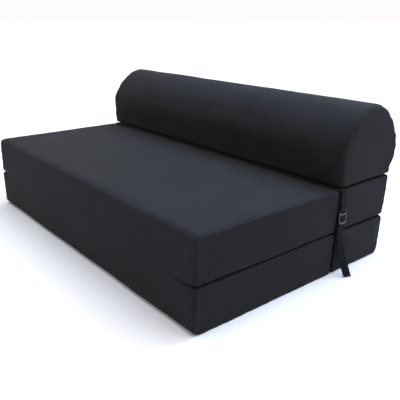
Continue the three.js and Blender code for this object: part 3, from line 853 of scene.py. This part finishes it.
class SofaBedStraps(bpy.types.Operator):
    """Make the webbing straps: a loop above each buckle, and the strap with its free tail below"""

    bl_idname = "sofa_bed.straps"
    bl_label = "Straps"

    def execute(self, context):
        for end, side in ENDS:
            self.loop(end, side)
            self.tail(end, side)
        return {"FINISHED"}

    def route(self, side, middle, points):
        """Distances outwards and heights as points in the row frame."""
        return np.array([(side * out, middle, up) for out, up in points])

    def loop(self, end, side):
        """Down from the seam, round the buckle's bar and back up, the two layers sewn together at the top."""
        low, high = span(f"strap_upper_{end}")
        middle = (low[1] + high[1]) / 2
        bar_z = span(f"ladder_buckle_{end}")[1][2] - BAR_RADIUS
        inner, outer = from_middle(low, high)
        inner, outer = inner + WEBBING_THICKNESS / 2, outer - WEBBING_THICKNESS / 2
        bar, r = (inner + outer) / 2, (outer - inner) / 2
        turn = [(bar - r * math.cos(a), bar_z - r * math.sin(a)) for a in np.linspace(0, math.pi, 13)]
        top = BOX["back_middle"][1][2] - 3 * MM
        second = inner + WEBBING_THICKNESS + 0.2 * MM
        points = [(inner, top), *turn, (outer - 0.6 * MM, bar_z + 10 * MM),
                  (second, bar_z + 34 * MM), (second, top)]
        line = smooth_route(self.route(side, middle, points), 110, 3)
        across = np.tile((0, -side, 0), (len(line), 1))
        strap = ribbon(f"strap_loop_{end}", line, across)
        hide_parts(f"strap_upper_{end}")
        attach(strap, "back_middle")

    def tail(self, end, side):
        """Up behind the buckle, out over its lower rung and down behind the lip; then the free tail leans out
        to the floor and turns a little on the way."""
        low, high = span(f"strap_lower_{end}")
        middle = (low[1] + high[1]) / 2
        buckle_low, buckle_high = span(f"ladder_buckle_{end}")
        front = from_middle(buckle_low, buckle_high)[1] + 0.3 * MM + WEBBING_THICKNESS / 2
        inner, tip = from_middle(low, high)
        inner += WEBBING_THICKNESS / 2
        second = inner + WEBBING_THICKNESS + 0.3 * MM
        top_slot = buckle_high[2] - 2 * BAR_RADIUS - 1.5 * BUCKLE_SLOT - BUCKLE_RUNG
        low_slot = top_slot - BUCKLE_SLOT - BUCKLE_RUNG
        points = [(inner, low[2] + 20 * MM), (inner, top_slot - 2 * MM), (inner + 1.5 * MM, top_slot),
                  (front - 1.5 * MM, top_slot), (front, top_slot - 2 * MM), (front, low_slot + 2 * MM),
                  (front - 1.5 * MM, low_slot), (second + 1.5 * MM, low_slot), (second, low_slot - 2 * MM),
                  (second, buckle_low[2] - 2 * MM)]
        held = self.route(side, middle, points)
        fall = np.linspace(0, 1, 40)
        lean = (tip - 9 * MM - second) * (0.3 * fall + 0.7 * fall ** 2)
        drop = buckle_low[2] - 2 * MM - fall * (buckle_low[2] - 4 * MM)
        sway = middle - 4 * MM * np.sin(math.pi * fall) ** 2 + 8 * MM * fall ** 2
        free = np.stack([side * (second + lean), sway, drop], 1)
        line = smooth_route(np.vstack([held, free[1:]]), 260, 2)
        turned = np.clip((buckle_low[2] - line[:, 2]) / (buckle_low[2] - 20 * MM), 0, 1)
        turned[:len(line) // 3] = 0
        angle = TAIL_TWIST * turned * turned * (3 - 2 * turned)
        across = np.stack([-np.sin(angle), -side * np.cos(angle), 0 * angle], 1)
        strap = ribbon(f"strap_tail_{end}", line, across)
        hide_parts(f"strap_lower_{end}")
        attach(strap, "seat_and_back_base")
        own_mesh(strap)


def rounded_section(width, height, power=3.5, n=20):
    """A superellipse: cosine and sine of the angle, each raised to 2 / power with its sign kept."""
    a = np.linspace(0, 2 * math.pi, n, endpoint=False)
    c, s = np.cos(a), np.sin(a)
    return np.stack([np.sign(c) * np.abs(c) ** (2 / power) * width / 2,
                     np.sign(s) * np.abs(s) ** (2 / power) * height / 2], 1)


def sweep(path, normal, section, closed):
    """Points and faces of a section carried along a path. Its first axis lies along the fixed normal, its
    second across the path; an open sweep is closed by a face at each end."""
    ahead = np.roll(path, -1, 0) - np.roll(path, 1, 0)
    if not closed:
        ahead[0], ahead[-1] = path[1] - path[0], path[-1] - path[-2]
    across = np.cross(ahead / np.linalg.norm(ahead, axis=1)[:, None], normal)
    k = section.shape[-2]
    section = np.broadcast_to(section, (len(path), k, 2))
    points = path[:, None] + section[..., :1] * normal + section[..., 1:] * across[:, None]
    index = np.arange(len(path) * k).reshape(-1, k)
    rows = np.vstack([index, index[:1]]) if closed else index
    wrap = np.roll(rows, -1, 1)
    faces = np.stack([rows[:-1], wrap[:-1], wrap[1:], rows[1:]], 2).reshape(-1, 4).tolist()
    if not closed:
        faces += [index[0].tolist()[::-1], index[-1].tolist()]
    return points.reshape(-1, 3), faces


def joined(parts):
    """Several point and face lists as one."""
    points, faces, start = [], [], 0
    for p, f in parts:
        points.append(p)
        faces += [[i + start for i in face] for face in f]
        start += len(p)
    return np.vstack(points), faces


class SofaBedBuckles(bpy.types.Operator):
    """Make the two ladder-lock buckles: a rounded frame, its round bar, two rungs and the lifting lip"""

    bl_idname = "sofa_bed.buckles"
    bl_label = "Buckles"

    def execute(self, context):
        for end, side in ENDS:
            low, high = span(f"ladder_buckle_{end}")
            x = (low[0] + high[0]) / 2
            y, half = (low[1] + high[1]) / 2, (high[1] - low[1]) / 2
            out = np.array((side, 0.0, 0.0))
            rail, thickness = BUCKLE_RAIL, BUCKLE_THICKNESS
            top, bottom = high[2] - BAR_RADIUS, low[2] + rail / 2
            wide, corner = half - rail / 2, BUCKLE_CORNER
            upper, under = top - corner + BAR_RADIUS - rail / 2, bottom + corner
            arcs = [arc((y + way * (wide - corner), z), corner, start, start + 90, 10)
                    for way, z, start in ((1, upper, 0), (-1, upper, 90), (-1, under, 180), (1, under, 270))]
            path = np.insert(np.vstack(arcs), 0, x, axis=1)
            lower = np.clip((bottom + 16 * MM - path[:, 2]) / (14 * MM), 0, 1)
            path[:, 0] += side * LIP_RISE * lower
            fuller = 1 + np.stack([0.1 * lower, 0.55 * lower], 1)
            section = rounded_section(thickness, rail)[None] * fuller[:, None]
            parts = [sweep(path, out, section, True)]
            rung_z = high[2] - 2 * BAR_RADIUS - BUCKLE_SLOT - BUCKLE_RUNG / 2
            for k, (z, tall) in enumerate([(top, 2 * BAR_RADIUS), (rung_z, BUCKLE_RUNG),
                                           (rung_z - BUCKLE_SLOT - BUCKLE_RUNG, BUCKLE_RUNG)]):
                t = np.linspace(-1, 1, 14)
                bow = (1 - t ** 2) * (0.5 * MM if k else 0)
                line = np.stack([x + side * bow, y + (half - rail) * t, 0 * t + z], 1)
                section = rounded_section(RUNG_THICKNESS if k else thickness, tall - 0.4 * MM, 3 if k else 2)
                parts.append(sweep(line, out, section, False))
            points, faces = joined(parts)
            if side < 0:
                faces = [f[::-1] for f in faces]
            buckle = mesh_object(f"ladder_lock_{end}", points, faces, finishes()["plastic"])
            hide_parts(f"ladder_buckle_{end}")
            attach(buckle, f"buckle_{end}")
        return {"FINISHED"}


TAPE_WIDTH = 22 * MM
TOOTH_PITCH = 2.5 * MM


class SofaBedZips(bpy.types.Operator):
    """Make the zips on the left ends: woven tape and moulded chain, and the finish of sliders and pulls"""

    bl_idname = "sofa_bed.zips"
    bl_label = "Zips"

    def execute(self, context):
        for name in BLOCKS:
            low, high = span(f"{name}_zip_tape")
            z = (low[2] + high[2]) / 2
            face = BOX[name][0][0]
            yy, zz = np.meshgrid(np.linspace(low[1] + 3 * MM, high[1] - 3 * MM, 60),
                                 z + TAPE_WIDTH / 2 * np.linspace(1, -1, 9), indexing="ij")
            xx = face + 0.5 * MM + 0 * yy
            tape = slab(f"{name}_tape", np.stack([xx, yy, zz], 2), 0.6 * MM, finishes()["tape"],
                        np.stack([yy, zz], 2))
            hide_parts(f"{name}_zip_tape")
            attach(tape, BODY_OF[f"{name}_zip_tape"])
            chain = self.chain(name, low[1] + 6 * MM, high[1] - 6 * MM, z, face)
            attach(chain, BODY_OF[f"{name}_zip_tape"])
            for piece in (f"{name}_zip_slider", f"{name}_zip_pull"):
                material_slots = frame["nodes"][piece].data.materials
                material_slots.clear()
                material_slots.append(finishes()["metal"])
        return {"FINISHED"}

    def chain(self, name, start, end, z, face):
        """Two rows of teeth, half a pitch apart, each tooth a flat block with its outer edges drawn in."""
        pitch = TOOTH_PITCH
        block = np.array([(i, j, k) for i in (0, 1) for j in (-1, 1) for k in (-1, 1)], float)
        block[:, 1:] *= np.where(block[:, :1] == 0, 0.7, 1.0)
        quads = np.array([(0, 1, 3, 2), (4, 6, 7, 5), (0, 4, 5, 1), (2, 3, 7, 6), (0, 2, 6, 4), (1, 5, 7, 3)])
        count = int((end - start) / pitch)
        row = np.arange(2 * count)
        centre = np.stack([np.full(2 * count, face - 0.4 * MM), start + pitch * (row / 2 + 0.5),
                           z + 0.9 * MM * (1 - 2 * (row % 2))], 1)
        points = (centre[:, None] + block * [0.9 * MM, 0.45 * pitch, 1.3 * MM]).reshape(-1, 3)
        faces = (quads[None] + 8 * row[:, None, None]).reshape(-1, 4)
        return mesh_object(f"{name}_chain", points, faces, finishes()["plastic"], smooth=False)


# ---- Stage ----
FLOOR = 40.0  # half the floor's side
# Name, place, target, size, watts and tint.
SOFT_BOXES = (
    ("top_soft_box", (0.6, 0.85, 1.5), (0.3, 0.0, 0.27), (0.5, 0.8), 34, "#a8ccff"),
    ("front_soft_box", (-0.3, -2.3, 0.9), (0.0, -0.3, 0.2), (1.0, 1.0), 7, "#9cccff"),
    ("side_soft_box", (2.3, 0.1, 1.2), (0.6, 0.0, 0.2), (0.6, 0.6), 2, "#ffb070"),
)


def light(name, kind, power, tint, direction):
    """A lamp in the scene, shining along a direction."""
    data = bpy.data.lights.new(name, kind)
    data.energy = power
    data.color = linear(tint)[:3]
    lamp = bpy.data.objects.new(name, data)
    lamp.rotation_euler = aim(direction)
    bpy.context.scene.collection.objects.link(lamp)
    return lamp


def aim(direction):
    """The turn that points an object's -Z along a direction, with its Y upwards."""
    x, y, z = np.asarray(direction) / np.linalg.norm(direction)
    return (math.acos(-z), 0.0, math.atan2(-x, y))


class SofaBedStage(bpy.types.Operator):
    """Make the pale floor, the soft studio lights and the camera"""

    bl_idname = "sofa_bed.stage"
    bl_label = "Stage"

    def execute(self, context):
        scene = context.scene
        paint = surface("Studio floor, matt pale grey", "#cacaca", 0.95, gloss=0.0)[0]
        corners = [(-FLOOR, -FLOOR, 0), (FLOOR, -FLOOR, 0), (FLOOR, FLOOR, 0), (-FLOOR, FLOOR, 0)]
        floor = mesh_object("studio_floor", corners, [(0, 1, 2, 3)], paint, smooth=False)
        world = bpy.data.worlds.new("Studio")
        world.use_nodes = True
        walls = world.node_tree.nodes["Background"]
        walls.inputs["Color"].default_value = linear("#faf8f6")
        walls.inputs["Strength"].default_value = 1.04
        scene.world = world
        scene.view_settings.view_transform = "Standard"
        ceiling = light("ceiling_light", "SUN", 4.0, "#ecf0ff", (-0.03, -0.27, -1.0))
        ceiling.data.angle = math.radians(70)
        for name, place, target, size, power, tint in SOFT_BOXES:
            box = light(name, "AREA", power, tint, np.subtract(target, place))
            box.location = place
            box.data.shape = "RECTANGLE"
            box.data.size, box.data.size_y = size
        camera_data = bpy.data.cameras.new("camera")
        camera_data.lens = 46.34
        camera_data.shift_x, camera_data.shift_y = 0.0901, -0.0041
        camera = bpy.data.objects.new("camera", camera_data)
        camera.location = (1.395, JOINT_Y - 1.252, 0.747)
        camera.rotation_euler = (math.pi / 2 - math.radians(19.9), math.radians(-0.23), math.radians(52.5))
        scene.collection.objects.link(camera)
        scene.camera = camera
        return {"FINISHED"}


STEPS = (SofaBedStage, SofaBedCushions, SofaBedFoam, SofaBedHinges, SofaBedStraps, SofaBedBuckles,
         SofaBedZips)


class SofaBedPanel(bpy.types.Panel):
    """The sidebar tab that makes each group of pieces, with the sizes and colours they use"""

    bl_idname = "VIEW3D_PT_sofa_bed"
    bl_label = "Sofa bed"
    bl_space_type = "VIEW_3D"
    bl_region_type = "UI"
    bl_category = "Sofa Bed"

    def draw(self, context):
        for step in STEPS:
            self.layout.operator(step.bl_idname)
        for group in (sizes(), colours()):
            box = self.layout.box()
            for key in group.__annotations__:
                box.prop(group, key)


CLASSES = (SofaBedSizes, SofaBedColours, *STEPS, SofaBedPanel)


def register():
    for c in CLASSES:
        bpy.utils.register_class(c)
    bpy.types.Scene.sofa_bed_sizes = bpy.props.PointerProperty(type=SofaBedSizes)
    bpy.types.Scene.sofa_bed_colours = bpy.props.PointerProperty(type=SofaBedColours)


def unregister():
    del bpy.types.Scene.sofa_bed_colours
    del bpy.types.Scene.sofa_bed_sizes
    for c in reversed(CLASSES):
        bpy.utils.unregister_class(c)


def main():
    register()
    bpy.ops.sofa_bed.stage()
    bpy.ops.sofa_bed.cushions()
    bpy.ops.sofa_bed.foam()
    bpy.ops.sofa_bed.hinges()
    bpy.ops.sofa_bed.straps()
    bpy.ops.sofa_bed.buckles()
    bpy.ops.sofa_bed.zips()


if __name__ == "__main__":
    main()
